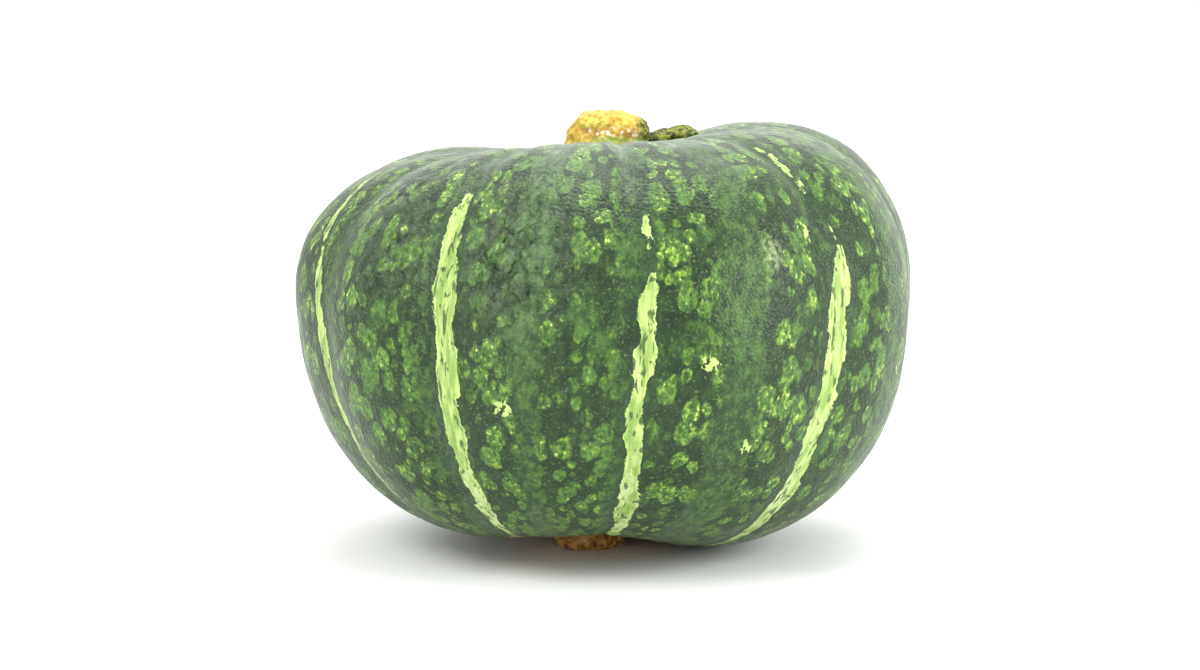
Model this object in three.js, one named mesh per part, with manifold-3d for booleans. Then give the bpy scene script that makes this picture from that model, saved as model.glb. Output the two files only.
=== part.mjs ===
// A buttercup squash as picked and set down on a table: a squat ten-lobed green fruit, a short corky
// stem stump in the hollow of its crown, and a corky button at its blossom end.
// Millimetres, +Z up. Azimuth 0 is the front (-Y) and 90 degrees is the right (+X). The origin is on
// the resting plane, under the middle of the fruit.
import * as THREE from "three";
import { mergeVertices } from "three/addons/utils/BufferGeometryUtils.js";
import Module from "manifold-3d";

const wasm = await Module();
wasm.setup();

// ---- driving dimensions ----

// The fruit's outline in four directions. reach and equator place its widest point, crown is the
// height of the shoulder's top and foot is the height of its lowest ring. The two powers say how
// square the outline is above and below the widest point (2 is an ellipse).
const OUTLINES = [
  { azimuth: 0, reach: 88, equator: 69, crown: 120, foot: 9.8, upperPower: 2.2, lowerPower: 2 },
  { azimuth: 90, reach: 91.8, equator: 69, crown: 121.4, foot: 0.8, upperPower: 2.4, lowerPower: 2.12 },
  { azimuth: 180, reach: 87, equator: 73, crown: 110, foot: -0.8, upperPower: 2.2, lowerPower: 2 },
  { azimuth: 270, reach: 89, equator: 77, crown: 114.2, foot: 4.8, upperPower: 2.1, lowerPower: 1.9 },
];
const CROWN_RADIUS = 43; // from the axis to the top of the shoulder
const FOOT_RADIUS = 30; // from the axis to the lowest ring
const SEAT_HEIGHT = 113.5; // the skin under the middle of the stem
const NAVEL_HEIGHT = 6; // the skin above the middle of the blossom button
const STEM_CENTRE = new THREE.Vector2(1, 5); // the axis where it leaves the crown
const BUTTON_CENTRE = new THREE.Vector2(-3.5, -11); // the axis where it leaves the underside

// The furrows run from pole to pole, deepest on the shoulder.
const FURROWS = [6, 47, 84, 121, 158, 195, 230, 264, 297, 328];
const FURROW_DEPTH = 2.6;
const FURROW_HALF_WIDTH = 9; // degrees
const FURROW_FADE = { crown: 0.3, foot: 0.5 }; // shares of the way over which they reach full depth

const BODY_SEGMENTS = 80;
const BODY_RINGS = 36;
const GAP = 0.3; // left between two pieces that touch
const MERGE_DISTANCE = 1e-4; // points closer than this are one point

const STEM = {
  topHeight: 127,
  buried: 6, // how far under the skin it starts, before the fruit is cut away from it
  neckRadius: 11.5,
  flare: 6, // how much wider the base is than the neck
  flareEnd: 0.75, // share of the height where the flare has died out
  domeStart: 0.7, // share of the height where the cut end starts to round over
  domeSpan: 0.32,
  levels: [0, 0.2, 0.36, 0.52, 0.68, 0.8, 0.9, 0.97], // shares of the height
  ridges: 5,
  ridgeDepth: 0.9,
  ridgeTurn: 0.6, // radians
  ridgeFade: 0.6, // share of the ridges' depth that is lost by the top
  slope: 0.06, // how far the cut end falls for each millimetre to the right
  slopeStart: -2, // from the middle of the stump
  lean: 2, // how far the top stands to the right of the base
  segments: 30,
};

// Half sizes, its middle, and how far it tips up to the right in degrees.
const TOE = {
  length: 11,
  width: 5.5,
  height: 2.5,
  centre: [19.5, 6, 118.2],
  rise: 11,
  segments: 20,
  rings: 12,
};

const BUTTON = {
  radius: 9.6,
  height: 9,
  bevel: 0.9,
  bevelSegments: 2,
  waves: [
    { count: 2, depth: 0.07, turn: 0.4 }, // depth is a share of the radius, turn is in radians
    { count: 5, depth: 0.035, turn: 0 },
  ],
  segments: 36,
};

// ---- helpers ----

const radians = THREE.MathUtils.degToRad;
const smooth = (x) => Math.sin((Math.PI / 2) * THREE.MathUtils.clamp(x, 0, 1)) ** 2;

// The outline at any azimuth, blended from the two directions on either side of it.
function outlineAt(azimuth) {
  const quarter = Math.floor(azimuth / 90) % 4;
  const from = OUTLINES[quarter];
  const to = OUTLINES[(quarter + 1) % 4];
  const share = smooth((azimuth - from.azimuth) / 90);
  const mix = (key) => THREE.MathUtils.lerp(from[key], to[key], share);
  return {
    reach: mix("reach"),
    equator: mix("equator"),
    crown: mix("crown"),
    foot: mix("foot"),
    upperPower: mix("upperPower"),
    lowerPower: mix("lowerPower"),
  };
}

// Radius and height of the skin at a share of the way from the stem (0) to the blossom end (1).
function profileAt(outline, share) {
  const crownShare = 0.14;
  const footShare = 0.88;
  if (share < crownShare) {
    const out = share / crownShare;
    return [CROWN_RADIUS * out, THREE.MathUtils.lerp(SEAT_HEIGHT, outline.crown, smooth(out))];
  }
  if (share > footShare) {
    const out = (1 - share) / (1 - footShare);
    return [FOOT_RADIUS * out, THREE.MathUtils.lerp(NAVEL_HEIGHT, outline.foot, smooth(out))];
  }
  const turn = Math.PI * ((share - crownShare) / (footShare - crownShare)); // 0 at crown, pi at foot
  const upper = turn < Math.PI / 2;
  const power = 2 / (upper ? outline.upperPower : outline.lowerPower);
  const out = Math.sin(turn) ** power;
  const up = Math.abs(Math.cos(turn)) ** power;
  const inner = upper ? CROWN_RADIUS : FOOT_RADIUS;
  const end = upper ? outline.crown : outline.foot;
  return [
    THREE.MathUtils.lerp(inner, outline.reach, out),
    THREE.MathUtils.lerp(outline.equator, end, up),
  ];
}

// The angle between two azimuths, the shorter way round.
function degreesApart(azimuth, other) {
  const turn = Math.abs(azimuth - other) % 360;
  return Math.min(turn, 360 - turn);
}

// How deep the furrows are at this azimuth, from 0 on a lobe to 1 in a furrow.
function furrowAt(azimuth) {
  const depths = FURROWS.map((furrow) =>
    Math.exp(-((degreesApart(azimuth, furrow) / FURROW_HALF_WIDTH) ** 2)),
  );
  return Math.max(...depths);
}

// A point of the skin. grow moves it out, to cut a neighbour clear of it.
function skinPoint(azimuth, share, grow) {
  const [radius, height] = profileAt(outlineAt(azimuth), share);
  const along = smooth(share / FURROW_FADE.crown) * smooth((1 - share) / FURROW_FADE.foot);
  const out = radius + (radius > 0 ? grow : 0) - FURROW_DEPTH * furrowAt(azimuth) * along;
  const lean = THREE.MathUtils.clamp(height / SEAT_HEIGHT, 0, 1);
  const centre = BUTTON_CENTRE.clone().lerp(STEM_CENTRE, lean);
  const lift = grow * Math.cos(Math.PI * share);
  const angle = radians(azimuth);
  return new THREE.Vector3(
    centre.x + out * Math.sin(angle),
    centre.y - out * Math.cos(angle),
    Math.max(height, 0) + lift,
  );
}

// A closed surface from rings of points, each ring the same way round, with a point at both ends.
function closedLoft(top, rings, bottom) {
  const count = rings[0].length;
  const points = [top, ...rings.flat(), bottom];
  const last = points.length - 1;
  const at = (ring, i) => 1 + ring * count + (i % count);
  const index = [];
  for (let i = 0; i < count; i += 1) {
    index.push(0, at(0, i), at(0, i + 1));
    for (let ring = 0; ring < rings.length - 1; ring += 1) {
      index.push(at(ring, i), at(ring + 1, i), at(ring + 1, i + 1));
      index.push(at(ring, i), at(ring + 1, i + 1), at(ring, i + 1));
    }
    index.push(at(rings.length - 1, i), last, at(rings.length - 1, i + 1));
  }
  const geometry = new THREE.BufferGeometry().setFromPoints(points);
  geometry.setIndex(index);
  return geometry;
}

function solidFrom(geometry) {
  const bare = geometry.clone();
  bare.deleteAttribute("normal");
  bare.deleteAttribute("uv");
  const merged = mergeVertices(bare, MERGE_DISTANCE);
  return new wasm.Manifold(
    new wasm.Mesh({
      numProp: 3,
      vertProperties: new Float32Array(merged.attributes.position.array),
      triVerts: new Uint32Array(merged.index.array),
    }),
  );
}

function geometryFrom(solid) {
  const mesh = solid.getMesh();
  const geometry = new THREE.BufferGeometry();
  geometry.setAttribute("position", new THREE.BufferAttribute(mesh.vertProperties, 3));
  geometry.setIndex(new THREE.BufferAttribute(mesh.triVerts, 1));
  return geometry;
}

// ---- the fruit ----

function fruitGeometry(segments, rings, grow = 0) {
  const ringAt = (share) =>
    Array.from({ length: segments }, (_, i) => skinPoint((360 * i) / segments, share, grow));
  const shares = Array.from({ length: rings }, (_, i) => (i + 1) / (rings + 1));
  return closedLoft(skinPoint(0, 0, grow), shares.map(ringAt), skinPoint(0, 1, grow));
}

// ---- the stem: a cut stump with five low ridges, and the toe of its flare that lies to the right ----

// Radius of the stump at a share of its height and an angle round it.
function stumpRadius(level, angle) {
  const flare = STEM.flare * Math.max(0, 1 - level / STEM.flareEnd) ** 2;
  const intoDome = Math.max(0, level - STEM.domeStart) / STEM.domeSpan;
  const fade = 1 - STEM.ridgeFade * level;
  const ridge = STEM.ridgeDepth * Math.cos(STEM.ridges * angle + STEM.ridgeTurn) * fade;
  return (STEM.neckRadius + flare + ridge) * Math.sqrt(1 - intoDome ** 2);
}

function stumpGeometry() {
  const foot = SEAT_HEIGHT - STEM.buried;
  const ringAt = (level) =>
    Array.from({ length: STEM.segments }, (_, i) => {
      const angle = (2 * Math.PI * i) / STEM.segments;
      const radius = stumpRadius(level, angle);
      const right = radius * Math.sin(angle);
      const fall = STEM.slope * Math.max(0, right - STEM.slopeStart) * level;
      return new THREE.Vector3(
        STEM_CENTRE.x + STEM.lean * level + right,
        STEM_CENTRE.y - radius * Math.cos(angle),
        THREE.MathUtils.lerp(foot, STEM.topHeight, level) - fall,
      );
    });
  const tipHeight = STEM.topHeight + STEM.slope * STEM.slopeStart;
  const tip = new THREE.Vector3(STEM_CENTRE.x + STEM.lean, STEM_CENTRE.y, tipHeight);
  const bottom = new THREE.Vector3(STEM_CENTRE.x, STEM_CENTRE.y, foot);
  return closedLoft(tip, STEM.levels.map(ringAt).reverse(), bottom);
}

function toeGeometry() {
  const toe = new THREE.SphereGeometry(1, TOE.segments, TOE.rings);
  toe.scale(TOE.length, TOE.width, TOE.height);
  toe.rotateY(-radians(TOE.rise));
  toe.translate(...TOE.centre);
  return toe;
}

// ---- the blossom button: an uneven disc of cork, flat where the fruit stands on it ----

function buttonGeometry() {
  const { radius, height, bevel, bevelSegments, waves, segments } = BUTTON;
  const outline = Array.from({ length: segments }, (_, i) => {
    const angle = (2 * Math.PI * i) / segments;
    const uneven = waves.reduce(
      (sum, wave) => sum + wave.depth * Math.sin(wave.count * angle + wave.turn),
      1,
    );
    const out = (radius - bevel) * uneven;
    return new THREE.Vector2(out * Math.cos(angle), out * Math.sin(angle));
  });
  const disc = new THREE.ExtrudeGeometry(new THREE.Shape(outline), {
    depth: height - 2 * bevel,
    bevelThickness: bevel,
    bevelSize: bevel,
    bevelSegments,
  });
  disc.translate(BUTTON_CENTRE.x, BUTTON_CENTRE.y, bevel);
  return disc;
}

// ---- assembly ----

const clearOfFruit = solidFrom(fruitGeometry(BODY_SEGMENTS, BODY_RINGS, GAP));
const stemSolid = solidFrom(stumpGeometry()).add(solidFrom(toeGeometry())).subtract(clearOfFruit);
const buttonSolid = solidFrom(buttonGeometry()).subtract(clearOfFruit);

function piece(name, geometry, color, roughness) {
  const mesh = new THREE.Mesh(
    geometry,
    new THREE.MeshStandardMaterial({ color, roughness, metalness: 0 }),
  );
  mesh.name = name;
  return mesh;
}

// Moves every piece so that the origin is under the middle of the whole squash.
function centreOnOrigin(group) {
  const middle = new THREE.Box3().setFromObject(group).getCenter(new THREE.Vector3());
  group.children.forEach((mesh) => mesh.geometry.translate(-middle.x, -middle.y, 0));
}

const squash = new THREE.Group();
squash.name = "buttercup_squash";
squash.add(piece("fruit", fruitGeometry(BODY_SEGMENTS, BODY_RINGS), 0x4f7040, 0.35));
squash.add(piece("stem", geometryFrom(stemSolid), 0xd8b84a, 0.85));
squash.add(piece("blossom_button", geometryFrom(buttonSolid), 0x8a6b34, 0.9));
centreOnOrigin(squash);

export default squash;
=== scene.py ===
import math

import bpy
from mathutils import Euler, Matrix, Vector, noise


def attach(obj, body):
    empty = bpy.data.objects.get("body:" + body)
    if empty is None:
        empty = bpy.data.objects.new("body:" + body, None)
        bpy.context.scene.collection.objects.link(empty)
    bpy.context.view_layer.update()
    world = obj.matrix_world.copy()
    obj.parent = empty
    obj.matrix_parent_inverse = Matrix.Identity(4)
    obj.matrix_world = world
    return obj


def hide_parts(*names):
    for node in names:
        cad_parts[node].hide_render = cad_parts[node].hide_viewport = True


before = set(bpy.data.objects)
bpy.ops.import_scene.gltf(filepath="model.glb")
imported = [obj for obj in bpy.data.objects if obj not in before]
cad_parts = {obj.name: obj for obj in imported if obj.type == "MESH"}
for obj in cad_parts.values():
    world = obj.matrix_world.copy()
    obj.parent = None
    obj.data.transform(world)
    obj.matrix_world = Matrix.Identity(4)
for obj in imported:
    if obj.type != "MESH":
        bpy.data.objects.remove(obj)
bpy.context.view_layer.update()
print("frame loaded:", sorted(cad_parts))

mm = 0.001
stemAxis = Vector((0.2, 6.2)) * mm  # the fruit leans, so its axis runs from one to the other
buttonAxis = Vector((-4.3, -9.8)) * mm
crownHeight = 113.5 * mm
middleHeight = 62 * mm



def put(tree, target, value):
    if isinstance(value, Field):
        tree.links.new(value.socket, target)
    elif hasattr(value, "__len__") and target.type == "RGBA" and len(value) == 3:
        target.default_value = (*value, 1)
    else:
        target.default_value = value


class Field:  # a socket of a node tree that ordinary Python maths works on
    def __init__(self, tree, socket):
        self.tree = tree
        self.socket = socket

    def maths(self, operation, *values):
        maker = makeNode(self.tree, "ShaderNodeMath", {"operation": operation})
        for target, value in zip(maker.inputs, values):
            put(self.tree, target, value)
        return Field(self.tree, maker.outputs[0])

    def __add__(self, other):
        return self.maths("ADD", self, other)

    def __sub__(self, other):
        return self.maths("SUBTRACT", self, other)

    def __rsub__(self, other):
        return self.maths("SUBTRACT", other, self)

    def __mul__(self, other):
        return self.maths("MULTIPLY", self, other)

    def __truediv__(self, other):
        return self.maths("DIVIDE", self, other)

    def __pow__(self, other):
        return self.maths("POWER", self, other)

    __radd__ = __add__
    __rmul__ = __mul__

    def atLeast(self, other):
        return self.maths("MAXIMUM", self, other)

    def atMost(self, other):
        return self.maths("MINIMUM", self, other)

    def step(self, low, high):  # smoothly 0 at low and 1 at high
        return self.make(
            "ShaderNodeMapRange",
            {"interpolation_type": "SMOOTHSTEP"},
            {"Value": self, "From Min": low, "From Max": high},
        )

    def make(self, kind, settings=None, inputs=None, output=0):
        made = makeNode(self.tree, kind, settings or {})
        for name, value in (inputs or {}).items():
            put(self.tree, made.inputs[name], value)
        return Field(self.tree, made.outputs[output])


def makeNode(tree, kind, settings):
    made = tree.nodes.new(kind)
    for name, value in settings.items():
        setattr(made, name, value)
    return made


def blend(share, low, high, mode="MIX"):  # colours
    settings = {"data_type": "RGBA", "blend_type": mode, "clamp_factor": True}
    made = makeNode(share.tree, "ShaderNodeMix", settings)
    for target, value in ((0, share), (6, low), (7, high)):
        put(share.tree, made.inputs[target], value)
    return Field(share.tree, made.outputs[2])


def stretched(vector, across, along):  # a smaller number draws a pattern's marks out longer
    return vector.make(
        "ShaderNodeVectorMath",
        {"operation": "MULTIPLY"},
        {0: vector, 1: (across, across, along)},
    )


def cloud(vector, size, detail=2.0, roughness=0.5, distortion=0.0):  # noise with features about size across
    inputs = {
        "Vector": vector,
        "Scale": 1 / size,
        "Detail": detail,
        "Roughness": roughness,
        "Distortion": distortion,
    }
    return vector.make("ShaderNodeTexNoise", {}, inputs)


def cells(vector, size, output="Distance", feature="F1", randomness=1.0):
    inputs = {"Vector": vector, "Scale": 1 / size, "Randomness": randomness}
    return vector.make("ShaderNodeTexVoronoi", {"feature": feature}, inputs, output)


def paint(red, green, blue):  # a screen colour, 0 to 255, as linear light
    return tuple(((c / 255 + 0.055) / 1.055) ** 2.4 for c in (red, green, blue))


def newMaterial(name):
    material = bpy.data.materials.new(name)
    material.use_nodes = True
    tree = material.node_tree
    shader = tree.nodes["Principled BSDF"]
    return material, tree, shader


def bump(height, distance, strength=1.0, under=None):
    inputs = {"Height": height, "Distance": distance, "Strength": strength}
    if under is not None:
        inputs["Normal"] = under
    return height.make("ShaderNodeBump", {}, inputs)


def axisAt(height):
    share = min(max(height / crownHeight, 0), 1)
    return buttonAxis.lerp(stemAxis, share)


def placeOf(point):  # azimuth, polar and distance from the axis
    out = Vector((point.x, point.y)) - axisAt(point.z)
    azimuth = math.degrees(math.atan2(out.x, -out.y))
    polar = math.degrees(math.atan2(out.length, point.z - middleHeight))
    return azimuth, polar, out.length


def bell(value, middle, width):
    return math.exp(-(((value - middle) / width) ** 2))


def turnBetween(azimuth, other):  # signed, at most half a turn
    return (azimuth - other + 180) % 360 - 180


# Degrees. A stripe runs down from top to bottom (polar), leaning and bowing on the way, and reaches its
# width at a share of its length.
def stripe(azimuth, top, bottom, width, widest=0.5, lean=0, bow=0):
    return {
        "azimuth": azimuth,
        "top": top,
        "bottom": bottom,
        "width": width,
        "widest": widest,
        "lean": lean,
        "bow": bow,
    }


rindShape = {  # millimetres and degrees
    "segments": (400, 200),
    "quickSegments": (192, 96),
    "furrows": [6, 47, 84, 121, 158, 195, 230, 264, 297, 328],
    "furrowDepth": 0.6,
    "crownFurrowDepth": 0.9,
    "furrowWidth": 3.4,
    "fullness": 0.8,
    "rightFullness": 0.5,
    "leftFoot": 1.5,
    "rightShoulder": 1,
    "lump": (34, 0.8),
    "dent": (15, 0.34),
    "pebble": (3.4, 0.07),
    "foldSize": 10,
    "foldDepth": 2.2,
    "stripes": [
        stripe(-69, 53, 158, 3.6, widest=0.6, lean=14, bow=7),
        stripe(-29, 56, 150, 5, widest=0.35, lean=6, bow=1),
        stripe(9, 61, 68, 2),
        stripe(8, 72, 104, 4, widest=0.4, lean=-3),
        stripe(8, 93, 146, 5, widest=0.55),
        stripe(52, 70, 146, 5.5, widest=0.35, lean=2, bow=-5),
        stripe(48, 44, 60, 2),
        stripe(50, 63, 69, 1),
        stripe(82, 52, 136, 3, bow=3),
        stripe(120, 62, 140, 4.5, widest=0.4, bow=1),
        stripe(158, 48, 138, 4.5, lean=2),
        stripe(195, 66, 144, 4.5, widest=0.4),
        stripe(230, 50, 140, 4, widest=0.6, lean=-2),
        stripe(263, 58, 142, 3.5, bow=2),
    ],
    "ledgeLength": 5,
    "ledgeDepth": 1.5,
    "waviness": 0.2,
    "taper": 0.5,
    "degreeAcross": 1.53,
    "degreeDown": 1.2,
}


def insideStripe(line, azimuth, polar):  # millimetres inside its edge, negative outside
    share = min(max((polar - line["top"]) / (line["bottom"] - line["top"]), 0), 1)
    bowed = line["bow"] * 4 * share * (1 - share)
    around = turnBetween(azimuth, line["azimuth"] + line["lean"] * (share - 0.5) + bowed)
    edge = line["azimuth"] + math.copysign(9, around)
    skewed = share ** (math.log(0.5) / math.log(line["widest"]))
    halfWidth = line["width"] / 2 * (4 * skewed * (1 - skewed)) ** rindShape["taper"]
    halfWidth *= 1 + rindShape["waviness"] * noise.noise(Vector((edge, polar / 8, 0)))
    ledge = noise.cell(Vector((edge, polar / rindShape["ledgeLength"], 0))) - 0.35
    halfWidth += rindShape["ledgeDepth"] * ledge * math.sqrt(share * (1 - share))
    across = (halfWidth - abs(around)) * rindShape["degreeAcross"] * math.sin(math.radians(polar))
    ends = min(polar - line["top"], line["bottom"] - polar) * rindShape["degreeDown"]
    return min(across, ends)


def toFurrow(azimuth):
    return min(abs(turnBetween(azimuth, furrow)) for furrow in rindShape["furrows"])


def leatheryAt(azimuth, polar):  # two patches of creased skin beside the second stripe
    main = bell(azimuth, -17, 10) * bell(polar, 70, 15)
    return main + 0.6 * bell(azimuth, -44, 9) * bell(polar, 66, 14)


def lumpiness(point, size, depth):
    return noise.noise(point / (size * mm)) * depth


def reliefAt(point, azimuth, polar):  # how far the skin stands out at this place
    shape = rindShape
    side = math.sin(math.radians(polar))
    full = shape["fullness"] * side + shape["rightFullness"] * side * math.sin(math.radians(azimuth))
    full += shape["leftFoot"] * bell(azimuth, -90, 35) * bell(polar, 118, 16)
    full -= shape["rightShoulder"] * bell(azimuth, 88, 30) * bell(polar, 64, 10)
    rough = lumpiness(point, *shape["lump"]) + lumpiness(point, *shape["dent"])
    rough += lumpiness(point, *shape["pebble"])
    deeper = shape["furrowDepth"] + shape["crownFurrowDepth"] * bell(polar, 44, 16)
    channel = -deeper * bell(toFurrow(azimuth), 0, shape["furrowWidth"]) * side
    crownRibs = noise.noise(Vector((azimuth / 7, polar / 60, 3))) * 0.6 * bell(polar, 36, 14)
    folded = point / (shape["foldSize"] * mm)
    ridges = 1 - 2 * abs(noise.noise(folded + noise.noise_vector(folded * 0.6)))
    folds = max(0, ridges - 0.55) * shape["foldDepth"] * (leatheryAt(azimuth, polar) + 0.1)
    return (full + rough + channel + crownRibs - folds) * mm


def rindGuide():  # a merged, rounded copy of the CAD fruit for the rind to be pressed onto
    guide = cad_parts["fruit"].copy()
    guide.data = guide.data.copy()
    guide.parent = None
    bpy.context.collection.objects.link(guide)
    bpy.ops.object.select_all(action="DESELECT")
    bpy.context.view_layer.objects.active = guide
    guide.select_set(True)
    bpy.ops.object.mode_set(mode="EDIT")
    bpy.ops.mesh.select_all(action="SELECT")
    bpy.ops.mesh.remove_doubles(threshold=0.02 * mm)
    bpy.ops.mesh.tris_convert_to_quads(face_threshold=math.radians(60), shape_threshold=math.radians(60))
    bpy.ops.mesh.normals_make_consistent(inside=False)
    bpy.ops.object.mode_set(mode="OBJECT")
    rounding = guide.modifiers.new("rounding", "SUBSURF")
    rounding.levels = rounding.render_levels = 2
    bpy.ops.object.modifier_apply(modifier=rounding.name)
    return guide


def addMeridianMap(mesh, places):
    for layer in list(mesh.uv_layers):
        mesh.uv_layers.remove(layer)
    meridian = mesh.uv_layers.new(name="meridian")
    for face in mesh.polygons:
        corners = [places[index] for index in face.vertices]
        across = max(c[0] for c in corners) - min(c[0] for c in corners) > 180
        for loop, (azimuth, polar, _) in zip(face.loop_indices, corners):
            turned = azimuth + 360 if across and azimuth < 0 else azimuth
            meridian.data[loop].uv = (turned / 720 + 0.5, polar / 180)


def addVectors(mesh, name, vectors):
    layer = mesh.attributes.new(name, "FLOAT_VECTOR", "POINT")
    layer.data.foreach_set("vector", [value for vector in vectors for value in vector])


def growthAt(azimuth, polar, out):  # coordinates that follow the skin, so that marks keep their size
    ring = 0.45 * out + 0.55 * 85 * mm
    angle = math.radians(azimuth)
    return ring * math.sin(angle), -ring * math.cos(angle), 95 * mm * math.radians(polar)


def patternAt(azimuth, polar):
    inside = max(insideStripe(line, azimuth, polar) for line in rindShape["stripes"])
    return inside, toFurrow(azimuth), leatheryAt(azimuth, polar)


def makeRind():
    guide = rindGuide()
    bpy.ops.object.select_all(action="DESELECT")
    segments, rings = rindShape["segments"]
    bpy.ops.mesh.primitive_uv_sphere_add(
        segments=segments, ring_count=rings, radius=130 * mm, location=(0, 0, 60 * mm)
    )
    rind = bpy.context.object
    rind.name = "fruit_rind"
    bpy.ops.object.transform_apply(location=True, rotation=True, scale=True)
    press = rind.modifiers.new("press", "SHRINKWRAP")
    press.target = guide
    press.wrap_method = "PROJECT"
    press.use_negative_direction = True
    press.use_positive_direction = False
    bpy.ops.object.modifier_apply(modifier=press.name)
    bpy.data.objects.remove(guide)
    mesh = rind.data
    places = [placeOf(v.co) for v in mesh.vertices]
    normals = [v.normal.copy() for v in mesh.vertices]
    for v, normal, (azimuth, polar, _) in zip(mesh.vertices, normals, places):
        v.co += normal * reliefAt(v.co, azimuth, polar)
        v.co.z = max(v.co.z, 0)
    addMeridianMap(mesh, places)
    addVectors(mesh, "growth", [growthAt(*place) for place in places])
    addVectors(mesh, "pattern", [patternAt(azimuth, polar) for azimuth, polar, _ in places])
    mesh.update()
    bpy.ops.object.shade_smooth()
    return rind


def channelOf(colour, index):  # one channel of a colour or vector
    made = makeNode(colour.tree, "ShaderNodeSeparateXYZ", {})
    put(colour.tree, made.inputs[0], colour)
    return Field(colour.tree, made.outputs[index])


def warped(place, size, reach):  # coordinates pushed about by noise
    push = place.make("ShaderNodeTexNoise", {}, {"Vector": place, "Scale": 1 / size}, "Color")
    centred = push.make("ShaderNodeVectorMath", {"operation": "SUBTRACT"}, {0: push, 1: (0.5, 0.5, 0.5)})
    scaled = push.make("ShaderNodeVectorMath", {"operation": "SCALE"}, {0: centred, "Scale": reach * 2})
    return push.make("ShaderNodeVectorMath", {"operation": "ADD"}, {0: place, 1: scaled})


def shifted(place, offset):
    return place.make("ShaderNodeVectorMath", {"operation": "ADD"}, {0: place, 1: (offset, offset, offset)})


def pickedCells(place, size):  # (distance to the nearest cell's middle, a number that picks cells)
    made = makeNode(place.tree, "ShaderNodeTexVoronoi", {})
    put(place.tree, made.inputs["Vector"], place)
    made.inputs["Scale"].default_value = 1 / size
    colour = Field(place.tree, made.outputs["Color"])
    return Field(place.tree, made.outputs["Distance"]), channelOf(colour, 0)


def mottleCells(place, size, fewest):  # (filled cells, their brighter rims)
    near, number = pickedCells(place, size)
    pick = number.step(fewest, fewest + 0.35)
    filled = (1 - near.step(0.34, 0.5)) * pick
    rims = near.step(0.12, 0.3) * (1 - near.step(0.36, 0.48)) * pick
    return filled, rims


def regionOf(azimuth, polar, middle, height, halfWidth, halfHeight):  # a soft patch of rind
    across = (azimuth - middle) / halfWidth
    down = (polar - height) / halfHeight
    return 1 - (across * across + down * down).step(0.3, 1.3)


rindLook = {
    "splats": [(20, 88), (-17, 96)],  # azimuth and polar, besides the scattered ones
    "splatSize": (2, 1.7),
    "deep": paint(28, 50, 26),
    "mid": paint(48, 78, 36),
    # painted sheen: a paler, greyer green for the bands midway between furrows
    "midlineSheen": paint(64, 94, 46),
    "leafy": paint(54, 88, 32),
    "lightGrain": paint(82, 118, 48),
    "darkGrain": paint(24, 45, 24),
    "gap": paint(18, 39, 14),
    "mottle": paint(84, 128, 38),
    "mottleRim": paint(150, 184, 68),
    "mottleFleck": paint(212, 230, 120),
    "blackGrit": paint(16, 33, 18),
    "paleGrit": paint(134, 160, 98),
    # painted shade: the dark green in the creases
    "shadedCreases": paint(22, 40, 24),
    # painted sheen: grey haze on the leathery patches
    "patchSheen": paint(116, 134, 104),
    # painted sheen: grey patches on the crown, standing for the reflected sky
    "crownSheen": paint(112, 128, 106),
    # painted highlights: grey streaks radiating over the crown
    "crownHighlight": paint(138, 152, 130),
    # painted light: floor light reflected onto the lower side
    "floorBounceLight": paint(98, 116, 86),
    "scar": paint(136, 140, 116),
    "stripeDull": paint(134, 166, 80),
    "stripeLight": paint(190, 212, 128),
    "stripeGreen": paint(120, 156, 68),
    "stripeWhite": paint(200, 216, 158),
    "stripeRim": paint(206, 224, 132),
    "stripeBorder": paint(32, 56, 32),
    "scabDark": paint(96, 66, 34),
    "scabLight": paint(206, 172, 116),
}


def greenGround(growth, polar, phase, grain):
    look = rindLook
    patches = cloud(growth, 22 * mm, 3)
    band = phase.step(2.2, 5) * (1 - phase.step(14.5, 17.5))
    ground = blend(patches.step(0.38, 0.62), look["deep"], look["mid"])
    # painted sheen on the bands midway between furrows
    ground = blend(phase.step(15, 18.5) * 0.5, ground, look["midlineSheen"])
    ground = blend(band * 0.4, ground, look["leafy"])
    ground = blend(grain.step(0.48, 0.62) * 0.5, ground, look["lightGrain"])
    ground = blend((1 - grain.step(0.36, 0.5)) * 0.6, ground, look["darkGrain"])
    # painted floor light: the lower side made greyer and lighter
    ground = blend(polar.step(118, 146) * 0.55, ground, look["floorBounceLight"])
    crown = 1 - polar.step(34, 64)
    # painted sheen: grey patches over the crown
    ground = blend(crown * patches.step(0.3, 0.6) * 0.4, ground, look["crownSheen"])
    # painted highlights: grey streaks radiating from the stem over the crown
    radialHighlight = cloud(stretched(growth, 1, 0.12), 4 * mm, 2, 0.6).step(0.5, 0.68)
    return blend(crown * radialHighlight * 0.5, ground, look["crownHighlight"]), band


def addMottles(ground, growth, long, band, grit):
    look = rindLook
    cluster = cloud(shifted(growth, 0.3), 13 * mm, 2).step(0.28, 0.44)
    bent = warped(long, 4.5 * mm, 1.5 * mm)
    bigCells, bigRims = mottleCells(bent, 6.6 * mm, 0.1)
    smallCells, smallRims = mottleCells(shifted(bent, 0.5), 4.2 * mm, 0.22)
    here = band * cluster
    filled = bigCells.atLeast(smallCells) * here
    rims = bigRims.atLeast(smallRims) * here
    fine = cloud(long, 1.3 * mm, 2, 0.6)
    bright = cloud(growth, 19 * mm, 1).step(0.4, 0.6)
    ground = blend(here * (1 - filled.step(0, 0.4)) * 0.75, ground, look["gap"])
    ground = blend(filled * (fine.step(0.34, 0.58) * 0.6 + 0.08), ground, look["mottle"])
    ground = blend(rims * fine.step(0.5, 0.62) * (bright * 0.5 + 0.2), ground, look["mottleRim"])
    flecks = (1 - cells(bent, 1.7 * mm).step(0.14, 0.34)) * filled * fine.step(0.46, 0.56)
    ground = blend(flecks * (bright * 0.7 + 0.3), ground, look["mottleFleck"])
    ground = blend((1 - grit.step(0.36, 0.48)) * 0.4, ground, look["blackGrit"])
    return blend(grit.step(0.57, 0.68) * 0.35, ground, look["paleGrit"]), fine


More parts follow.
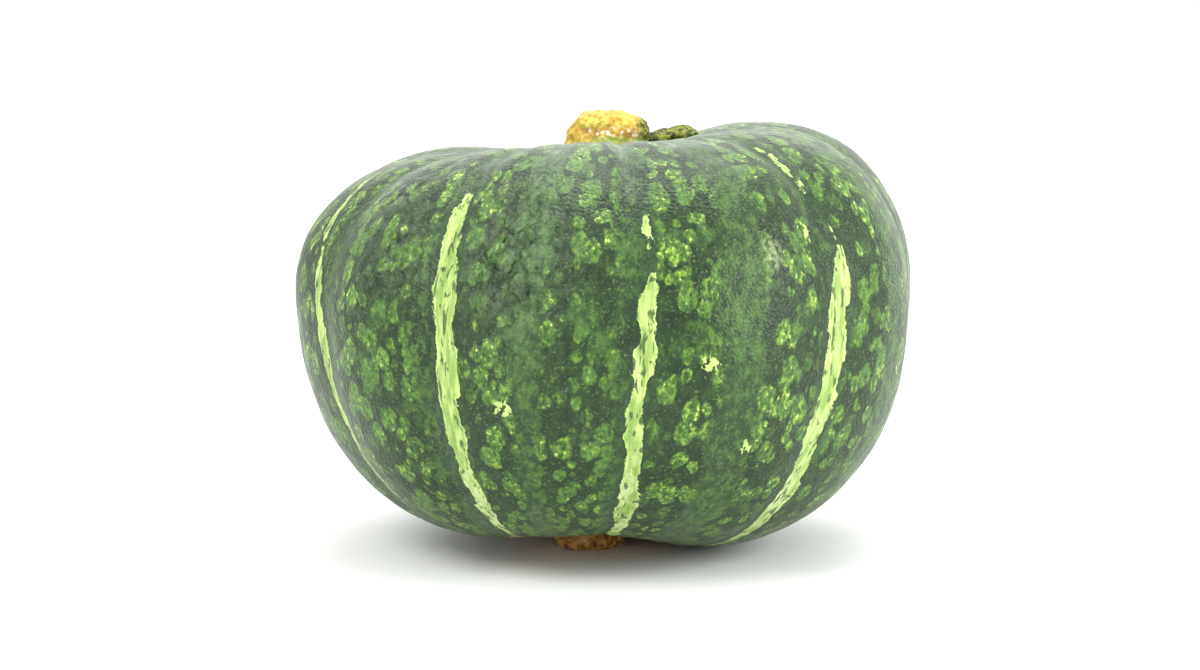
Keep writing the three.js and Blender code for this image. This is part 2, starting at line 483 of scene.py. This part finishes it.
def splatsOn(azimuth, polar, growth, fine, crumbled):  # small ragged white marks
    near, number = pickedCells(stretched(growth, 1, 0.6), 22 * mm)
    marks = (1 - near.step(0.0, 0.15)) * number.step(0.45, 0.5)
    for place in rindLook["splats"]:
        marks = marks.atLeast(regionOf(azimuth, polar, *place, *rindLook["splatSize"]))
    return (marks + (fine - 0.5) * 3.4 + crumbled).step(0.72, 0.95) * marks.step(0.05, 0.3)


def stripeColour(growth, polar, depth):
    look = rindLook
    streaks = cloud(stretched(growth, 1, 0.14), 1.5 * mm, 3, 0.6)
    blotches = cloud(stretched(growth, 1, 0.5), 6 * mm, 2, 0.6)
    colour = blend(streaks.step(0.32, 0.66), look["stripeDull"], look["stripeLight"])
    colour = blend(blotches.step(0.48, 0.66) * 0.65, colour, look["stripeGreen"])
    colour = blend(polar.step(96, 125) * (1 - blotches.step(0.4, 0.6)) * 0.6, colour, look["stripeWhite"])
    return blend((1 - depth.step(0.1, 0.9)) * 0.5, colour, look["stripeRim"])


def rindMaterial():
    look = rindLook
    material, tree, shader = newMaterial("waxy_rind")
    start = Field(tree, None)
    place = start.make("ShaderNodeUVMap", {"uv_map": "meridian"})
    turned = (channelOf(place, 0) - 0.5) * 720
    azimuth = turned - turned.maths("GREATER_THAN", turned, 180) * 360
    polar = channelOf(place, 1) * 180
    growth = start.make("ShaderNodeAttribute", {"attribute_name": "growth"}, output="Vector")
    pattern = start.make("ShaderNodeAttribute", {"attribute_name": "pattern"}, output="Vector")
    skin = start.make("ShaderNodeTexCoord", output="Object")
    long = stretched(growth, 1, 0.7)
    upright = stretched(growth, 1, 0.4)
    grit = cloud(growth, 0.9 * mm, 3, 0.7)
    grain = cloud(long, 2.4 * mm, 3, 0.6)

    # green skin with bands of mottles on both sides of each furrow, painted sheen midway between furrows
    # and on the crown, painted highlights on the crown and painted floor light on the lower side
    phase = channelOf(pattern, 1) + (cloud(upright, 16 * mm, 2) - 0.5) * 8
    ground, band = greenGround(growth, polar, phase, grain)
    ground, fine = addMottles(ground, growth, long, band, grit)

    # creased, leathery patches with painted shade in their creases and a painted grey sheen, and a healed
    # scar
    leathery = channelOf(pattern, 2)
    scales = warped(long, 7 * mm, 4 * mm)
    seams = 1 - cells(scales, 7 * mm, "Distance", "DISTANCE_TO_EDGE").step(0.0, 0.26)
    broken = cloud(shifted(growth, 0.7), 8 * mm, 2).step(0.42, 0.6)
    shadedCreases = seams * leathery * phase.step(1, 4) * broken
    # painted shade: darker lines along the creases
    ground = blend(shadedCreases * 0.4, ground, look["shadedCreases"])
    # painted sheen: grey haze over the leathery patches
    ground = blend(leathery * (1 - shadedCreases) * grain.step(0.3, 0.6) * 0.35, ground, look["patchSheen"])
    scar = regionOf(azimuth, polar, 33, 70, 2.5, 3.5) * fine.step(0.42, 0.6)
    ground = blend(scar * 0.6, ground, look["scar"])

    # ragged stripes, flecks and the dark holes in the stripes
    ragged = (cloud(upright, 2 * mm, 3, 0.65) - 0.5) * 3.4
    crumbled = grit - 0.5
    depth = channelOf(pattern, 0) + ragged + crumbled * 1.2
    pits = cloud(upright, 2.4 * mm, 2, 0.6, 0.4).step(0.58, 0.64)
    slits = cloud(stretched(shifted(growth, 0.9), 1, 0.22), 2.2 * mm, 2, 0.6).step(0.6, 0.66)
    stripe = depth.step(-0.1, 0.22) * (1 - pits * 0.8) * (1 - slits * 0.8)
    pale = stripe.atLeast(splatsOn(azimuth, polar, growth, fine, crumbled) * 0.9)
    ground = blend(depth.step(-3.4, -0.4) * (1 - pale) * 0.6, ground, look["stripeBorder"])
    colour = blend(pale * 0.97, ground, stripeColour(growth, polar, depth))

    # dry brown skin round the blossom button
    fringe = regionOf(azimuth, polar, -26, 147, 15, 8)
    scab = (polar.step(152, 158).atLeast(fringe) + (grain - 0.5) * 1.6).step(0.55, 0.8)
    scabColour = blend(fine.step(0.35, 0.6), look["scabDark"], look["scabLight"])
    put(tree, shader.inputs["Base Color"], blend(scab, colour, scabColour))

    put(tree, shader.inputs["Roughness"], grain * 0.1 + 0.26 + pale * 0.1 + scab * 0.4 + grit * 0.12)
    shader.inputs["Specular IOR Level"].default_value = 0.34
    surface = bump(cloud(long, 4.5 * mm, 3, 0.6), 0.5 * mm, 0.6)
    surface = bump((1 - cells(scales, 7 * mm)) * leathery, 2 * mm, 1.0, surface)
    surface = bump(1 - shadedCreases, 1.0 * mm, 1.0, surface)
    surface = bump(cells(skin, 1.0 * mm), 0.24 * mm, 0.9, surface)
    put(tree, shader.inputs["Normal"], surface)
    return material



def roughCopy(node, name, shape):  # a finely meshed copy of a CAD piece
    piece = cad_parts[node].copy()
    piece.data = piece.data.copy()
    piece.parent = None
    piece.name = name
    bpy.context.collection.objects.link(piece)
    bpy.ops.object.select_all(action="DESELECT")
    bpy.context.view_layer.objects.active = piece
    piece.select_set(True)
    bpy.ops.object.mode_set(mode="EDIT")
    bpy.ops.mesh.select_all(action="SELECT")
    bpy.ops.mesh.remove_doubles(threshold=0.02 * mm)
    bpy.ops.mesh.normals_make_consistent(inside=False)
    bpy.ops.object.mode_set(mode="OBJECT")
    remesh = piece.modifiers.new("remesh", "REMESH")
    remesh.mode = "VOXEL"
    remesh.voxel_size = shape["voxel"] * mm
    bpy.ops.object.modifier_apply(modifier=remesh.name)
    ease = piece.modifiers.new("ease", "SMOOTH")
    ease.factor = 0.5
    ease.iterations = 6
    bpy.ops.object.modifier_apply(modifier=ease.name)
    bpy.ops.object.shade_smooth()
    return piece


stemShape = {  # millimetres
    "voxel": 0.28,
    "quickVoxel": 0.5,
    "roughness": 1.2,
    "cutHeight": 125.4,
    "rightFlank": (5, 0.34),
    "leftFlank": (6, 1.1),
    "toeStart": 15,
    "toeHeight": 122,
    "toeFall": (21, 0.16),
    "tipFall": (24, 0.45),
    "uneven": (3, 0.9),
}


def fallPast(distance, start, slope):
    return slope * max(0, distance - start)


def stemTopAt(point):  # the uneven cut end, its two flanks and the thin tip of the toe
    x = point.x / mm
    if x > stemShape["toeStart"]:
        height = stemShape["toeHeight"] - fallPast(x, *stemShape["toeFall"])
        height -= fallPast(x, *stemShape["tipFall"])
    else:
        height = stemShape["cutHeight"] - fallPast(x, *stemShape["rightFlank"])
        height -= fallPast(-x, *stemShape["leftFlank"])
    return (height + lumpiness(point, *stemShape["uneven"])) * mm


def corkRelief(point, depth):
    chunks = lumpiness(point, 4.2, 0.7)
    crumbs = lumpiness(point + Vector((8, 2, 3)) * mm, 1.6, 0.4)
    pits = -max(0, lumpiness(point + Vector((3, 21, 8)) * mm, 2.6, 1.4) - 0.35)
    return (chunks + crumbs + pits) * depth * mm


def makeStem():
    stem = roughCopy("stem", "stem_cork", stemShape)
    normals = [v.normal.copy() for v in stem.data.vertices]
    for v, normal in zip(stem.data.vertices, normals):
        v.co += normal * corkRelief(v.co, stemShape["roughness"])
        v.co.z = min(v.co.z, stemTopAt(v.co))
    return stem


buttonShape = {  # millimetres
    "voxel": 0.22,
    "quickVoxel": 0.4,
    "roughness": 1.7,
    "smoothSole": 1,
}


def makeButton():
    button = roughCopy("blossom_button", "blossom_cork", buttonShape)
    normals = [v.normal.copy() for v in button.data.vertices]
    for v, normal in zip(button.data.vertices, normals):
        lift = min(max(v.co.z / (buttonShape["smoothSole"] * mm), 0), 1)
        v.co += normal * corkRelief(v.co, buttonShape["roughness"]) * lift
        v.co.z = max(v.co.z, 0)
    return button


def stemMaterial():
    material, tree, shader = newMaterial("stem_cork")
    skin = Field(tree, None).make("ShaderNodeTexCoord", output="Object")
    x = channelOf(skin, 0) / mm
    z = channelOf(skin, 2) / mm
    crumbs = cloud(skin, 1.6 * mm, 4, 0.6)
    chunks = cloud(skin, 5 * mm, 3)
    cork = blend(crumbs.step(0.35, 0.65), paint(180, 142, 44), paint(226, 206, 98))
    cork = blend(z.step(119, 123) * crumbs.step(0.4, 0.6) * 0.5, cork, paint(214, 206, 92))
    cork = blend(chunks.step(0.5, 0.68) * 0.55, cork, paint(204, 132, 40))
    specks = cloud(skin, 0.9 * mm, 2).step(0.6, 0.7)
    cork = blend(specks * 0.6, cork, paint(104, 84, 24))
    wander = (chunks - 0.5) * 3
    strip = (1 - (z + wander).step(118.6, 119.8)) * x.step(-5, -1)
    cork = blend(strip * 0.9, cork, blend(crumbs, paint(128, 150, 48), paint(196, 208, 116)))
    ring = (z + wander).step(118.8, 119.8) * (1 - (z + wander).step(121, 122.2)) * x.step(-7, -3)
    dots = 1 - cells(skin, 1.4 * mm).step(0.3, 0.46)
    cork = blend(ring * 0.45, cork, paint(196, 120, 60))
    cork = blend(ring * dots, cork, paint(244, 232, 214))
    side = (x + wander * 1.4).step(9, 11.5)
    green = blend(crumbs.step(0.4, 0.62), paint(40, 50, 6), paint(142, 148, 50))
    green = blend(specks * 0.8, green, paint(20, 24, 4))
    tip = x.step(24, 28)
    green = blend(tip * 0.6, green, blend(crumbs, paint(80, 104, 30), paint(150, 176, 80)))
    put(tree, shader.inputs["Base Color"], blend(side, cork, green))
    put(tree, shader.inputs["Roughness"], crumbs * 0.3 + 0.6)
    surface = bump(crumbs, 0.7 * mm, 0.9)
    put(tree, shader.inputs["Normal"], bump(cloud(skin, 0.7 * mm, 3), 0.25 * mm, 0.8, surface))
    return material


def buttonMaterial():
    material, tree, shader = newMaterial("button_cork")
    skin = Field(tree, None).make("ShaderNodeTexCoord", output="Object")
    crumbs = cloud(skin, 1.8 * mm, 4, 0.6)
    flakes = cloud(stretched(skin, 1, 3), 4 * mm, 3)
    colour = blend(crumbs.step(0.35, 0.68), paint(104, 68, 22), paint(206, 160, 82))
    colour = blend(flakes.step(0.5, 0.7) * 0.6, colour, paint(214, 180, 110))
    put(tree, shader.inputs["Base Color"], colour)
    put(tree, shader.inputs["Roughness"], crumbs * 0.3 + 0.65)
    put(tree, shader.inputs["Normal"], bump(crumbs, 0.6 * mm, 0.9))
    return material



studio = {  # lights: size, power in watts, place, what they point at, all lengths in metres
    "key": ((0.6, 0.6), 7.6, (-0.7, -0.7, 1.0), (0, 0, 0.06)),
    "top": ((0.9, 0.5), 7, (0.1, 0.3, 1.1), (0, 0, 0.08)),
    "fill": ((0.6, 0.6), 7.4, (0.95, -0.45, 0.5), (0, 0, 0.06)),
    "back": ((1.4, 0.5), 2.6, (0, 1.3, 0.55), (0, 0, 0.08)),
    "edge": ((0.08, 0.5), 1.1, (0.75, 0.85, 0.3), (0.05, 0, 0.07)),
}


def addLight(name, size, power, place, aim):
    light = bpy.data.lights.new(name, "AREA")
    light.shape = "RECTANGLE"
    light.size, light.size_y = size
    light.energy = power
    lamp = bpy.data.objects.new(name, light)
    bpy.context.collection.objects.link(lamp)
    lamp.location = place
    lamp.visible_camera = False
    lamp.rotation_euler = (Vector(aim) - Vector(place)).to_track_quat("-Z", "Y").to_euler()


def makeStudio():
    bpy.ops.object.select_all(action="DESELECT")
    bpy.ops.mesh.primitive_plane_add(size=8, location=(0, 0, 0))
    floor = bpy.context.object
    floor.name = "floor"
    material, tree, shader = newMaterial("white_paper")
    shader.inputs["Base Color"].default_value = (0.9, 0.9, 0.9, 1)
    shader.inputs["Roughness"].default_value = 1
    shader.inputs["Specular IOR Level"].default_value = 0
    floor.data.materials.append(material)
    world = bpy.data.worlds.new("light_tent")
    bpy.context.scene.world = world
    world.use_nodes = True
    world.node_tree.nodes["Background"].inputs["Color"].default_value = (1, 1, 1, 1)
    world.node_tree.nodes["Background"].inputs["Strength"].default_value = 1.15
    for name, (size, power, place, aim) in studio.items():
        addLight(name, size, power, place, aim)


view = {
    "elevation": math.radians(8.5),
    "distance": 1,
    "aim": Vector((0, 0, 62)) * mm,
    "lens": 102.3,
    "shift": (-0.0033, -0.0042),
}


def addCamera():
    elevation = view["elevation"]
    back = Vector((0, -math.cos(elevation), math.sin(elevation)))
    camera = bpy.data.objects.new("camera", bpy.data.cameras.new("camera"))
    bpy.context.collection.objects.link(camera)
    camera.location = view["aim"] + view["distance"] * back
    camera.rotation_euler = Euler((math.pi / 2 - elevation, 0, 0))
    camera.data.lens = view["lens"]
    camera.data.sensor_width = 36
    camera.data.shift_x, camera.data.shift_y = view["shift"]
    bpy.context.scene.camera = camera


def dress(piece, node, material):
    piece.data.materials.clear()
    piece.data.materials.append(material)
    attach(piece, "root")
    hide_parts(node)


rind = makeRind()
print("rind shaped:", len(rind.data.vertices), "points")
dress(rind, "fruit", rindMaterial())
print("rind done")
dress(makeStem(), "stem", stemMaterial())
dress(makeButton(), "blossom_button", buttonMaterial())
print("stem and blossom button done")
makeStudio()
addCamera()
bpy.context.scene.view_settings.view_transform = "Standard"
